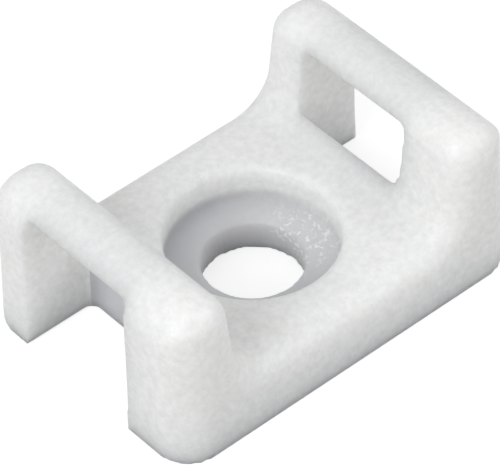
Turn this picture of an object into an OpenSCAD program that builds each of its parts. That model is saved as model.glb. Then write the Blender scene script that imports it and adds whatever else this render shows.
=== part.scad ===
// Saddle-type cable tie mount, moulded in one piece.
// It is screwed to a panel through the middle, and a cable tie is threaded
// through the slots in its two end walls, over the bundle that lies in the saddle.
// Origin: on the axis of the screw hole, in the mounting face. X runs from end wall
// to end wall, Y along the cables, Z away from the panel. Millimetres.

/* [Overall size] */
// Length over the two end walls, at the mounting face
length = 15; // [14.6:0.1:24]
// Width of the mount along the cables, at the mounting face
width = 10.25; // [9.4:0.1:18]
// Height of the end walls
height = 6.35; // [5.8:0.1:10]

/* [Saddle] */
// Height of the floor that the cables lie on
floor_height = 2.55; // [2.2:0.1:3]
// Fillet between the floor and each end wall
saddle_fillet = 1.3; // [0.6:0.1:1.5]

/* [End walls] */
// Thickness of each end wall, between its two faces carried up to the top
wall_thickness = 2.45; // [2.3:0.05:2.5]
// Outward lean of each end wall's inner face, in degrees
wall_lean = 5.8; // [2:1:10]
// Radius over the outer shoulders and on the upright corners
shoulder_round = 1.3; // [0.9:0.05:1.35]
// Radius over the inner side of each wall's top
crown_round = 0.9; // [0.5:0.05:0.95]
// Mould draft of the two outer end faces, in degrees
end_draft = 0.6; // [0:0.2:2]
// Mould draft of the two long side faces, in degrees
side_draft = 2.2; // [0:0.2:3]

/* [Tie slots] */
// Width of each slot, for the widest tie that passes
slot_width = 5.2; // [2.6:0.1:5.6]
// Depth of each slot, inwards from the outer face
slot_depth = 2.9; // [2.5:0.1:3.2]
// How far both slots lie off the screw hole, along Y
slot_offset = 0.4; // [-0.4:0.1:0.4]
// Thickness of the bridge over each slot
bridge = 0.6; // [0.55:0.05:0.9]
// Radius in the two upper corners of each slot
slot_corner = 0.3; // [0.1:0.1:1]
// Radius on the upright outer edges of each slot
slot_edge = 0.3; // [0.1:0.05:0.5]
// Radius on both lower edges of the bridge
bridge_edge = 0.2; // [0.1:0.05:0.2]

/* [Screw hole] */
// Diameter of the hole for the screw's shank
screw_hole = 3.6; // [2.5:0.1:4.5]
// Diameter of the recess for the screw's head
head_recess = 6.1; // [5:0.1:6.4]
// Thickness of plastic under the screw's head, at the hole
seat_height = 1.25; // [0.8:0.05:1.5]
// How far the dished seat rises from the hole to the wall of the recess
seat_dish = 0.1; // [0.05:0.05:0.3]
// Radius on the lip of the recess
recess_lip = 0.25; // [0.1:0.05:0.4]

/* [Hidden] */

// Steps in each arc of the section, and across the rounded edges
arc_steps = 10;
edge_steps = 8;
// Overrun of each cut past the faces that it opens
cut = 1;
// How much tighter an edge is than the arc it runs round, so that no face closes up
edge_less = 0.05;
outer_edge = shoulder_round - edge_less;
crown_edge = crown_round - edge_less;
// Height of the bridge's underside
slot_top = height - bridge;
// Distance from the middle to the inner end of each slot
slot_start = length / 2 - slot_depth;
// Inner face of the +X end wall at a height
function wall_face(z) =
    length / 2 - height * tan(end_draft) - wall_thickness - (height - z) * tan(wall_lean);
// Centre of the arc over the shoulder, which touches the top and the drafted face
shoulder_z = height - shoulder_round;
shoulder_x = length / 2 - shoulder_z * tan(end_draft) - shoulder_round / cos(end_draft);
// Centre of the arc over the crown, which touches the top and the leaning face
crown_z = height - crown_round;
crown_x = wall_face(crown_z) + crown_round / cos(wall_lean);
// Centre of the fillet, which touches the floor and the leaning face
fillet_z = floor_height + saddle_fillet;
fillet_x = wall_face(fillet_z) - saddle_fillet / cos(wall_lean);

// Arc of the section as [x, z, outward x, outward z, edge radius]; sense -1 is hollow
function section_arc(centre, radius, from, to, sense, edge_from, edge_to) =
    [for (i = [0 : arc_steps])
        let (t = i / arc_steps, a = from + (to - from) * t)
            [centre.x + radius * cos(a), centre.y + radius * sin(a),
             sense * cos(a), sense * sin(a), edge_from + (edge_to - edge_from) * t]];

// Half of the section in XZ, from the foot of the +X outer face to the floor's middle
half_section = concat(
    [[length / 2, 0, 1, 0, outer_edge]],
    section_arc([shoulder_x, shoulder_z], shoulder_round, end_draft, 90, 1,
        outer_edge, crown_edge),
    section_arc([crown_x, crown_z], crown_round, 90, 180 - wall_lean, 1,
        crown_edge, crown_edge),
    section_arc([fillet_x, fillet_z], saddle_fillet, -wall_lean, -90, -1,
        crown_edge, crown_edge));
half_count = len(half_section);
section = concat(half_section,
    [for (i = [half_count - 1 : -1 : 0])
        let (p = half_section[i]) [-p[0], p[1], -p[2], p[3], p[4]]]);
count = len(section);
// The last point of the wall on the section, where the fillet starts
wall_end = half_count - 1 - arc_steps;

// Point of the section, rolled inwards over its edge by an angle, on side +1 or -1
function edge_point(p, angle, side) =
    let (inset = p[4] * (1 - cos(angle)),
         z = p[1] - p[3] * inset)
        [p[0] - p[2] * inset,
         side * (width / 2 - z * tan(side_draft) - p[4] * (1 - sin(angle))),
         z];

// One side face as convex pieces: each wall, the fan under each fillet, and the base
function side_face(offset) = concat(
    [[for (i = [0 : wall_end]) offset + i],
     [for (i = [0 : wall_end]) offset + count - 1 - wall_end + i],
     [offset, offset + half_count - 1, offset + half_count, offset + count - 1]],
    [for (i = [wall_end : half_count - 2]) [offset, offset + i, offset + i + 1]],
    [for (i = [half_count : count - 2 - wall_end])
        [offset + i, offset + i + 1, offset + count - 1]]);
function turned(faces) = [for (f = faces) [for (i = [len(f) - 1 : -1 : 0]) f[i]]];

// Base and end walls, with the edges on both sides rounded, flat underneath
module rounded_body() {
    rings = concat(
        [for (j = [edge_steps : -1 : 0]) [90 * j / edge_steps, -1]],
        [for (j = [0 : edge_steps]) [90 * j / edge_steps, 1]]);
    points = [for (r = rings) for (p = section) edge_point(p, r[0], r[1])];
    skin = [for (j = [0 : len(rings) - 2]) for (i = [0 : count - 1])
        let (a = j * count + i, b = j * count + (i + 1) % count)
            each [[a, b, a + count], [b, b + count, a + count]]];
    polyhedron(points = points, faces = concat(skin,
        turned(side_face(0)), side_face((len(rings) - 1) * count)));
}

// Slot for the tie through the +X end wall, open towards the panel
module tie_slot() {
    reach = slot_depth + cut;
    side = slot_width / 2;
    translate([slot_start, 0, 0]) {
        translate([0, -side, -cut])
            cube([reach, slot_width, slot_top - slot_corner + cut]);
        translate([0, -side + slot_corner, 0])
            cube([reach, slot_width - 2 * slot_corner, slot_top]);
        for (s = [-1, 1])
            translate([0, s * (side - slot_corner), slot_top - slot_corner])
                rotate([0, 90, 0])
                    cylinder(r = slot_corner, h = reach, $fn = 32);
    }
    for (s = [-1, 1])
        slot_corner_easing(s);
    bridge_easing([shoulder_x, shoulder_z], shoulder_round, 1);
    bridge_easing([crown_x, crown_z], crown_round, -1);
}

// What is cut off one upright outer edge of the slot, on side +1 or -1
module slot_corner_easing(s) {
    edge_y = slot_width / 2 + slot_edge;
    translate([0, 0, -cut])
        linear_extrude(slot_top - slot_corner + cut)
            difference() {
                translate([length / 2 - slot_edge, s * edge_y - (s + 1) / 2 * slot_edge])
                    square([slot_edge + cut, slot_edge]);
                translate([length / 2 - slot_edge, s * edge_y])
                    circle(r = slot_edge, $fn = 32);
            }
}

// What is cut off one lower edge of the bridge, inside the arc that rounds its top
module bridge_easing(centre, radius, side) {
    z = slot_top + bridge_edge;
    x = centre.x + side * sqrt(pow(radius - bridge_edge, 2) - pow(z - centre.y, 2));
    out = ([x, z] - centre) / (radius - bridge_edge);
    rotate([90, 0, 0])
        linear_extrude(slot_width, center = true)
            difference() {
                polygon([[x, z], [x, z] + radius * out,
                    [x, z] + radius * (out + [side, -1]), [x, z - radius]]);
                translate([x, z])
                    circle(r = bridge_edge, $fn = 32);
            }
}

// Screw hole with the dished recess for the screw's head
module screw_recess() {
    seat = head_recess / 2;
    lip = seat + recess_lip;
    rotate_extrude($fn = 96) {
        translate([0, -cut])
            square([screw_hole / 2, height]);
        polygon([[0, seat_height], [screw_hole / 2, seat_height],
            [seat, seat_height + seat_dish], [seat, height], [0, height]]);
        difference() {
            translate([0, floor_height - recess_lip])
                square([lip, recess_lip + cut]);
            translate([lip, floor_height - recess_lip])
                circle(r = recess_lip, $fn = 48);
        }
    }
}

module tie_mount() {
    color([0.9, 0.9, 0.88])
        difference() {
            rounded_body();
            translate([0, slot_offset, 0]) {
                tie_slot();
                mirror([1, 0, 0]) tie_slot();
            }
            screw_recess();
        }
}

tie_mount();
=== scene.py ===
import math

import bpy
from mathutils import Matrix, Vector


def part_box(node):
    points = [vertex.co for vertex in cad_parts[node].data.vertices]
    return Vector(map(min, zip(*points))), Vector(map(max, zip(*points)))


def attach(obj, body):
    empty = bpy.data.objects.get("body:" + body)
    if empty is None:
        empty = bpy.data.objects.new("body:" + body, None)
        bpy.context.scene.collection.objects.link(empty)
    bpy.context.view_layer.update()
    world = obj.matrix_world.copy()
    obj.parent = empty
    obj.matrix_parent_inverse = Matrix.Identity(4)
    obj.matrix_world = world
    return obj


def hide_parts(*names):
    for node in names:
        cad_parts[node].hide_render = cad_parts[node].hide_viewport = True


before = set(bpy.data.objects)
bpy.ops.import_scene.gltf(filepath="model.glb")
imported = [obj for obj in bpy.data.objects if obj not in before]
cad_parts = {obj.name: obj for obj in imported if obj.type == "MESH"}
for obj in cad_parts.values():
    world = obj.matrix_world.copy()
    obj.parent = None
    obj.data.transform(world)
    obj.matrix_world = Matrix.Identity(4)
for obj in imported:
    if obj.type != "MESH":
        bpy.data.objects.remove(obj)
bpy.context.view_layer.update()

# Moulded body: the whole mount is one moulding of natural nylon, near-white, slightly
# translucent and matt from the mould. A saddle for the cables lies between two end
# walls, each with a slot for the tie, and a screw in its floor holds it to the panel.

# Sizes in millimetres and angles in degrees; the mesh is brought to metres at its end
mm = 0.001
low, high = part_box("tie_mount")
length, width, height = [1000 * (high[i] - low[i]) for i in range(3)]
floor_height = 2.55
saddle_fillet = 1.3
wall_thickness = 2.45
wall_lean = 5.8
shoulder_round = 1.3
crown_round = 0.9
end_draft = 0.6
side_draft = 2.2
side_roll = 0.85
slot_width = 5.2
slot_depth = 2.9
slot_offset = 0.4
slot_round = 0.35
bridge = 0.6
hole_radius = 1.8
head_radius = 3.05
seat_height = 1.25
seat_dish = 0.1
recess_lip = 0.25
# How far the cutters reach past the faces that they open, and how far the block starts
# below the panel's plane, where it is cut off flat later
past = 1
below = 1.5


def tangent(degrees):
    return math.tan(math.radians(degrees))


# Where the walls' faces meet the top and the floor, where the slots start and end, and
# the height of the seat's outer edge
top_outside = length / 2 - height * tangent(end_draft)
top_inside = top_outside - wall_thickness
wall_foot = round(top_inside - (height - floor_height) * tangent(wall_lean), 4)
slot_start = length / 2 - slot_depth
slot_top = round(height - bridge, 4)
seat_edge = seat_height + seat_dish


# Material of the body: each function adds one kind of node, and gives what it puts out
def noise(tree, place, scale, detail, roughness):
    node = tree.nodes.new("ShaderNodeTexNoise")
    node.inputs["Scale"].default_value = scale
    node.inputs["Detail"].default_value = detail
    node.inputs["Roughness"].default_value = roughness
    tree.links.new(place, node.inputs["Vector"])
    return node.outputs["Fac"]


def fade(tree, value, start, end, low=0.0, high=1.0):
    """Goes from low to high as the value goes from start to end."""
    node = tree.nodes.new("ShaderNodeMapRange")
    node.inputs["From Min"].default_value = start
    node.inputs["From Max"].default_value = end
    node.inputs["To Min"].default_value = low
    node.inputs["To Max"].default_value = high
    tree.links.new(value, node.inputs["Value"])
    return node.outputs["Result"]


def work_out(tree, kind, operation, output, *values):
    """Does a sum on plain values and on what other nodes put out."""
    node = tree.nodes.new(kind)
    node.operation = operation
    for value, socket in zip(values, node.inputs):
        if isinstance(value, bpy.types.NodeSocket):
            tree.links.new(value, socket)
        else:
            socket.default_value = value
    return node.outputs[output]


def number(tree, operation, *values):
    return work_out(tree, "ShaderNodeMath", operation, "Value", *values)


def lay_over(tree, amount, under, colour):
    """Lays a plain colour over another by an amount from 0 to 1."""
    node = tree.nodes.new("ShaderNodeMix")
    node.data_type = "RGBA"
    node.inputs["B"].default_value = colour
    tree.links.new(amount, node.inputs["Factor"])
    tree.links.new(under, node.inputs["A"])
    return node.outputs["Result"]


nylon = bpy.data.materials.new("natural_nylon")
nylon.use_nodes = True
tree = nylon.node_tree
shader = tree.nodes["Principled BSDF"]
place = tree.nodes.new("ShaderNodeTexCoord").outputs["Object"]
split = tree.nodes.new("ShaderNodeSeparateXYZ")
tree.links.new(place, split.inputs["Vector"])
x_at, y_at, z_at = [split.outputs[axis] for axis in "XYZ"]

# A faint mottle in the colour, and a fine grain that breaks up the sheen
tint = tree.nodes.new("ShaderNodeValToRGB")
darker, lighter = tint.color_ramp.elements
darker.position = 0.3
darker.color = (0.77, 0.775, 0.77, 1)
lighter.position = 0.7
lighter.color = (0.88, 0.885, 0.875, 1)
mottle = noise(tree, place, scale=3800, detail=4, roughness=0.6)
tree.links.new(mottle, tint.inputs["Fac"])
bump = tree.nodes.new("ShaderNodeBump")
bump.inputs["Strength"].default_value = 0.5
bump.inputs["Distance"].default_value = 0.06 * mm
grain = noise(tree, place, scale=5200, detail=3, roughness=0.65)
tree.links.new(grain, bump.inputs["Height"])

# Painted shade: the thin web under the screw's head, down in the recess, is painted a
# greyer tone, less so towards +X
from_axis = work_out(
    tree, "ShaderNodeVectorMath", "MULTIPLY", "Vector", place, (1, 1, 0)
)
off_axis = work_out(tree, "ShaderNodeVectorMath", "LENGTH", "Value", from_axis)
in_recess = fade(tree, off_axis, (head_radius + 0.35) * mm, (head_radius + 0.1) * mm)
by_seat = fade(tree, z_at, (seat_edge + 0.35) * mm, (seat_edge + 0.05) * mm)
web = number(tree, "MULTIPLY", in_recess, by_seat)
web_painted_shade = number(tree, "MULTIPLY", web, fade(tree, x_at, 0.5 * mm, 3 * mm, 1.0, 0.35))

# Painted shade too: the two ends of the base, which stand back inside the slots under
# the bridges, are painted the same greyer tone
from_middle = number(tree, "ABSOLUTE", x_at)
at_start = number(tree, "COMPARE", from_middle, slot_start * mm, 0.15 * mm)
in_slot = number(tree, "COMPARE", y_at, slot_offset * mm, slot_width / 2 * mm)
under_floor = number(tree, "LESS_THAN", z_at, (floor_height - 0.35) * mm)
base_end = number(tree, "MULTIPLY", at_start, in_slot)
base_end_painted_shade = number(tree, "MULTIPLY", base_end, under_floor)
# Both painted shades are laid over the tint in one colour
painted_shade = number(tree, "MAXIMUM", web_painted_shade, base_end_painted_shade)
with_painted_shade = lay_over(tree, painted_shade, tint.outputs["Color"], (0.6, 0.6, 0.625, 1))

# Painted highlights: lighter specks of colour stand in for glinting light on the side
# of the recess towards +X
glint_centre = (2.2 * mm, -0.4 * mm, 1.4 * mm)
from_spot = work_out(
    tree, "ShaderNodeVectorMath", "DISTANCE", "Value", place, glint_centre
)
near_spot = fade(tree, from_spot, 1.9 * mm, 0.8 * mm)
glint_area = number(tree, "MULTIPLY", near_spot, web)
speckle = noise(tree, place, scale=5000, detail=2, roughness=0.6)
specks = fade(tree, speckle, 0.56, 0.64)
painted_glints = number(tree, "MULTIPLY", specks, glint_area)
# The painted highlights are a near-white laid over the colour
colour = lay_over(tree, painted_glints, with_painted_shade, (0.93, 0.93, 0.93, 1))

tree.links.new(colour, shader.inputs["Base Color"])
tree.links.new(bump.outputs["Normal"], shader.inputs["Normal"])
shader.inputs["Roughness"].default_value = 0.42
shader.inputs["IOR"].default_value = 1.5
shader.inputs["Specular IOR Level"].default_value = 0.4
shader.inputs["Subsurface Weight"].default_value = 0.9
shader.inputs["Subsurface Radius"].default_value = (1.0, 0.95, 0.9)
shader.inputs["Subsurface Scale"].default_value = 2.8 * mm


# Mesh of the body, and the cutters and edits that shape it
def add_block(name, size, place):
    """Adds a block with its size and place in its mesh, and selects nothing else."""
    bpy.ops.object.select_all(action="DESELECT")
    bpy.ops.mesh.primitive_cube_add(size=1, location=place)
    block = bpy.context.object
    block.name = name
    block.scale = size
    bpy.ops.object.transform_apply(location=True, rotation=False, scale=True)
    return block


def add_disc(name, radius, depth, middle, corners):
    """Adds an upright disc on the axis of the hole, in the same way."""
    bpy.ops.object.select_all(action="DESELECT")
    bpy.ops.mesh.primitive_cylinder_add(
        vertices=corners, radius=radius, depth=depth, location=(0, 0, middle)
    )
    disc = bpy.context.object
    disc.name = name
    bpy.ops.object.transform_apply(location=True, rotation=False, scale=True)
    return disc


def open_at(piece, kind, wanted):
    """Opens the piece in edit mode, with only the wanted edges or faces selected."""
    bpy.context.view_layer.objects.active = piece
    bpy.ops.object.mode_set(mode="EDIT")
    bpy.ops.mesh.select_mode(type=kind)
    bpy.ops.mesh.select_all(action="DESELECT")
    bpy.ops.object.mode_set(mode="OBJECT")
    items = piece.data.edges if kind == "EDGE" else piece.data.polygons
    for item in items:
        item.select = wanted(item)
    bpy.ops.object.mode_set(mode="EDIT")


def scale_top(block, factor):
    """Makes the top of a block longer or shorter in X, so that its two ends lean."""
    open_at(block, "FACE", lambda face: face.normal.z > 0.9)
    bpy.ops.transform.resize(value=(factor, 1, 1), center_override=(0, 0, 0))
    bpy.ops.object.mode_set(mode="OBJECT")


def round_edges(block, radius, segments):
    """Rounds every edge of a block."""
    bpy.ops.object.mode_set(mode="EDIT")
    bpy.ops.mesh.select_mode(type="EDGE")
    bpy.ops.mesh.select_all(action="SELECT")
    bpy.ops.mesh.bevel(
        offset=radius, offset_type="OFFSET", segments=segments, profile=0.5
    )
    bpy.ops.object.mode_set(mode="OBJECT")


def draft_sides(piece, tall):
    """Draws both long sides in towards the top, as they must to leave the mould."""
    taper = piece.modifiers.new("side_draft", "SIMPLE_DEFORM")
    taper.deform_method = "TAPER"
    taper.lock_x = True
    taper.deform_axis = "Z"
    taper.factor = -tangent(side_draft) / (width / 2) * tall
    bpy.ops.object.modifier_apply(modifier=taper.name)


def cut(body, cutter, operation="DIFFERENCE"):
    """Takes the cutter's shape out of the body, or keeps only what lies inside it."""
    bpy.ops.object.select_all(action="DESELECT")
    body.select_set(True)
    bpy.context.view_layer.objects.active = body
    change = body.modifiers.new("cut", "BOOLEAN")
    change.operation = operation
    change.solver = "EXACT"
    change.object = cutter
    bpy.ops.object.modifier_apply(modifier=change.name)
    bpy.data.objects.remove(cutter)


def runs_along(edge, x, z):
    """Says whether an edge of the body runs from side to side at this place."""
    a, b = [body.data.vertices[i].co for i in edge.vertices]
    near = all(abs(abs(p.x) - x) < 0.1 and abs(p.z - z) < 0.01 for p in (a, b))
    return near and abs(a.y - b.y) > width / 2


def quarter(radius, steps):
    """Gives the steps sideways and onwards that go round a quarter of a circle."""
    turns = [math.pi / 2 * k / steps for k in range(steps + 1)]
    for a, b in zip(turns, turns[1:]):
        yield radius * (math.cos(a) - math.cos(b)), radius * (math.sin(b) - math.sin(a))


# A block with drafted ends, and the saddle cut down into it with leaning sides
body = add_block(
    "moulded_body", (length, width, height + below), (0, 0, (height - below) / 2)
)
scale_top(body, 1 - 2 * height * tangent(end_draft) / length)
depth = height + past - floor_height
saddle = add_block(
    "saddle",
    (2 * wall_foot, width + 4 * past, depth),
    (0, 0, floor_height + depth / 2),
)
scale_top(saddle, 1 + depth * tangent(wall_lean) / wall_foot)
cut(body, saddle)

# Shoulders, crowns and fillets: the bevel starts where the arc meets the two faces
roundings = [
    (top_outside, height, shoulder_round, end_draft),
    (top_inside, height, crown_round, wall_lean),
    (wall_foot, floor_height, saddle_fillet, wall_lean),
]
for x, z, radius, lean in roundings:
    open_at(body, "EDGE", lambda edge: runs_along(edge, x, z))
    offset = round(radius * tangent((90 - lean) / 2), 3)
    bpy.ops.mesh.bevel(offset=offset, offset_type="OFFSET", segments=12, profile=0.5)
    bpy.ops.object.mode_set(mode="OBJECT")

# Both sides are rolled inwards: each inset goes a step further round a quarter circle
for side in (-1, 1):
    open_at(body, "FACE", lambda face: side * face.normal.y > 0.99)
    bpy.ops.transform.translate(value=(0, -side * side_roll, 0))
    for inwards, outwards in quarter(side_roll, 8):
        bpy.ops.mesh.inset(thickness=inwards, depth=outwards, use_even_offset=True)
    bpy.ops.object.mode_set(mode="OBJECT")
draft_sides(body, height + below)

# The upright corners are rounder than the rolled edges, so a rounded block trims them.
# It stands out above and below by more than its own rounding.
block_height = height + 2 * below + past
block = add_block("corners", (length, width, block_height), (0, 0, height / 2))
round_edges(block, shoulder_round, 12)
draft_sides(block, block_height)
cut(body, block, "INTERSECT")

# Flat underside, in the plane of the panel
bpy.ops.object.mode_set(mode="EDIT")
bpy.ops.mesh.select_all(action="SELECT")
bpy.ops.mesh.bisect(
    plane_co=(0, 0, 0), plane_no=(0, 0, 1), use_fill=True, clear_inner=True
)
bpy.ops.object.mode_set(mode="OBJECT")

# Slots for the tie: one cutter for each end, all its edges rounded
for side in (-1, 1):
    reach = slot_depth + past
    slot = add_block(
        "slot",
        (reach, slot_width, slot_top + past),
        (side * (slot_start + reach / 2), slot_offset, (slot_top - past) / 2),
    )
    round_edges(slot, slot_round, 6)
    cut(body, slot)

# Recess for the screw's head: a disc whose underside is drawn down to a dished seat,
# and whose top flares round the lip before it goes on up past the floor
disc_depth = 0.6
recess = add_disc("recess", head_radius, disc_depth, seat_edge + disc_depth / 2, 128)
open_at(recess, "FACE", lambda face: face.normal.z < -0.9)
bpy.ops.mesh.inset(thickness=head_radius - hole_radius, depth=seat_dish)
bpy.ops.object.mode_set(mode="OBJECT")
open_at(recess, "FACE", lambda face: face.normal.z > 0.9)
rise = floor_height - recess_lip - seat_height - seat_dish - disc_depth
bpy.ops.transform.translate(value=(0, 0, rise))
lip_radius = head_radius
for outwards, up in quarter(recess_lip, 6):
    bpy.ops.mesh.extrude_region_move(TRANSFORM_OT_translate={"value": (0, 0, up)})
    grown = lip_radius + outwards
    bpy.ops.transform.resize(value=(grown / lip_radius, grown / lip_radius, 1))
    lip_radius = grown
bpy.ops.mesh.extrude_region_move(TRANSFORM_OT_translate={"value": (0, 0, past)})
bpy.ops.object.mode_set(mode="OBJECT")
cut(body, recess)

# Hole for the screw's shank, from under the mount up into the recess
hole_top = 2.5
hole = add_disc("hole", hole_radius, hole_top + below, (hole_top - below) / 2, 96)
cut(body, hole)

# The mesh is evened out and every edge eased a little, as on a moulding
even = body.modifiers.new("even", "REMESH")
even.mode = "VOXEL"
even.voxel_size = 0.085
bpy.ops.object.modifier_apply(modifier=even.name)
ease = body.modifiers.new("ease", "SMOOTH")
ease.factor = 0.5
ease.iterations = 5
bpy.ops.object.modifier_apply(modifier=ease.name)
body.scale = (mm, mm, mm)
bpy.ops.object.transform_apply(location=False, rotation=False, scale=True)
bpy.ops.object.shade_smooth()
body.data.materials.append(nylon)
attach(body, "root")
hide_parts("tie_mount")

# Floor: a plain pale sheet that the mount lies on. It keeps the mount's soft shadow,
# and glows so as to be white to the camera and where the nylon shows it.
bpy.ops.object.select_all(action="DESELECT")
bpy.ops.mesh.primitive_plane_add(size=4, location=(0, 0, -0.02 * mm))
floor = bpy.context.object
floor.name = "floor"
paper = bpy.data.materials.new("pale_floor")
paper.use_nodes = True
tree = paper.node_tree
sheet = tree.nodes["Principled BSDF"]
sheet.inputs["Base Color"].default_value = (0.45, 0.45, 0.45, 1)
sheet.inputs["Roughness"].default_value = 0.9
sheet.inputs["Specular IOR Level"].default_value = 0
rays = tree.nodes.new("ShaderNodeLightPath").outputs
seen = number(tree, "MAXIMUM", rays["Is Camera Ray"], rays["Is Glossy Ray"])
shown = number(tree, "MAXIMUM", seen, rays["Is Transmission Ray"])
glow = tree.nodes.new("ShaderNodeEmission")
glow.inputs["Color"].default_value = (1, 1, 1, 1)
tree.links.new(number(tree, "MULTIPLY", shown, 0.68), glow.inputs["Strength"])
both = tree.nodes.new("ShaderNodeAddShader")
tree.links.new(sheet.outputs["BSDF"], both.inputs[0])
tree.links.new(glow.outputs["Emission"], both.inputs[1])
tree.links.new(both.outputs["Shader"], tree.nodes["Material Output"].inputs["Surface"])
floor.data.materials.append(paper)

# Lamps: a broad soft key from the left, a weaker fill from the front and a faint one
# from above, each turned to the mount, in a pale room. Places and sizes are in metres.
lamps = [
    ("key", (-0.21, -0.04, 0.18), 0.16, 0.4),
    ("fill", (0.16, -0.2, 0.14), 0.16, 0.18),
    ("top", (0.05, 0.12, 0.3), 0.2, 0.05),
]
for name, (x, y, z), size, power in lamps:
    bpy.ops.object.light_add(type="AREA", location=(x, y, z))
    lamp = bpy.context.object
    lamp.name = name
    lamp.data.shape = "DISK"
    lamp.data.size = size
    lamp.data.energy = power
    lamp.rotation_euler = (math.atan2(math.hypot(x, y), z), 0, math.atan2(x, -y))
world = bpy.data.worlds.new("room")
bpy.context.scene.world = world
world.use_nodes = True
room = world.node_tree.nodes["Background"]
room.inputs["Color"].default_value = (1, 1, 1, 1)
room.inputs["Strength"].default_value = 0.54

# Camera: a long lens in front and to the left, looking down on the saddle at 45 degrees
bpy.ops.object.camera_add(
    location=(-0.0693135, -0.0826931, 0.1091802),
    rotation=[math.radians(turn) for turn in (45.2964, 1.3401, -41.2590)],
)
camera = bpy.context.object
camera.data.lens = 324
camera.data.sensor_width = 36
camera.data.clip_start = 0.01
camera.data.clip_end = 5
bpy.context.scene.camera = camera
bpy.context.scene.view_settings.view_transform = "Standard"
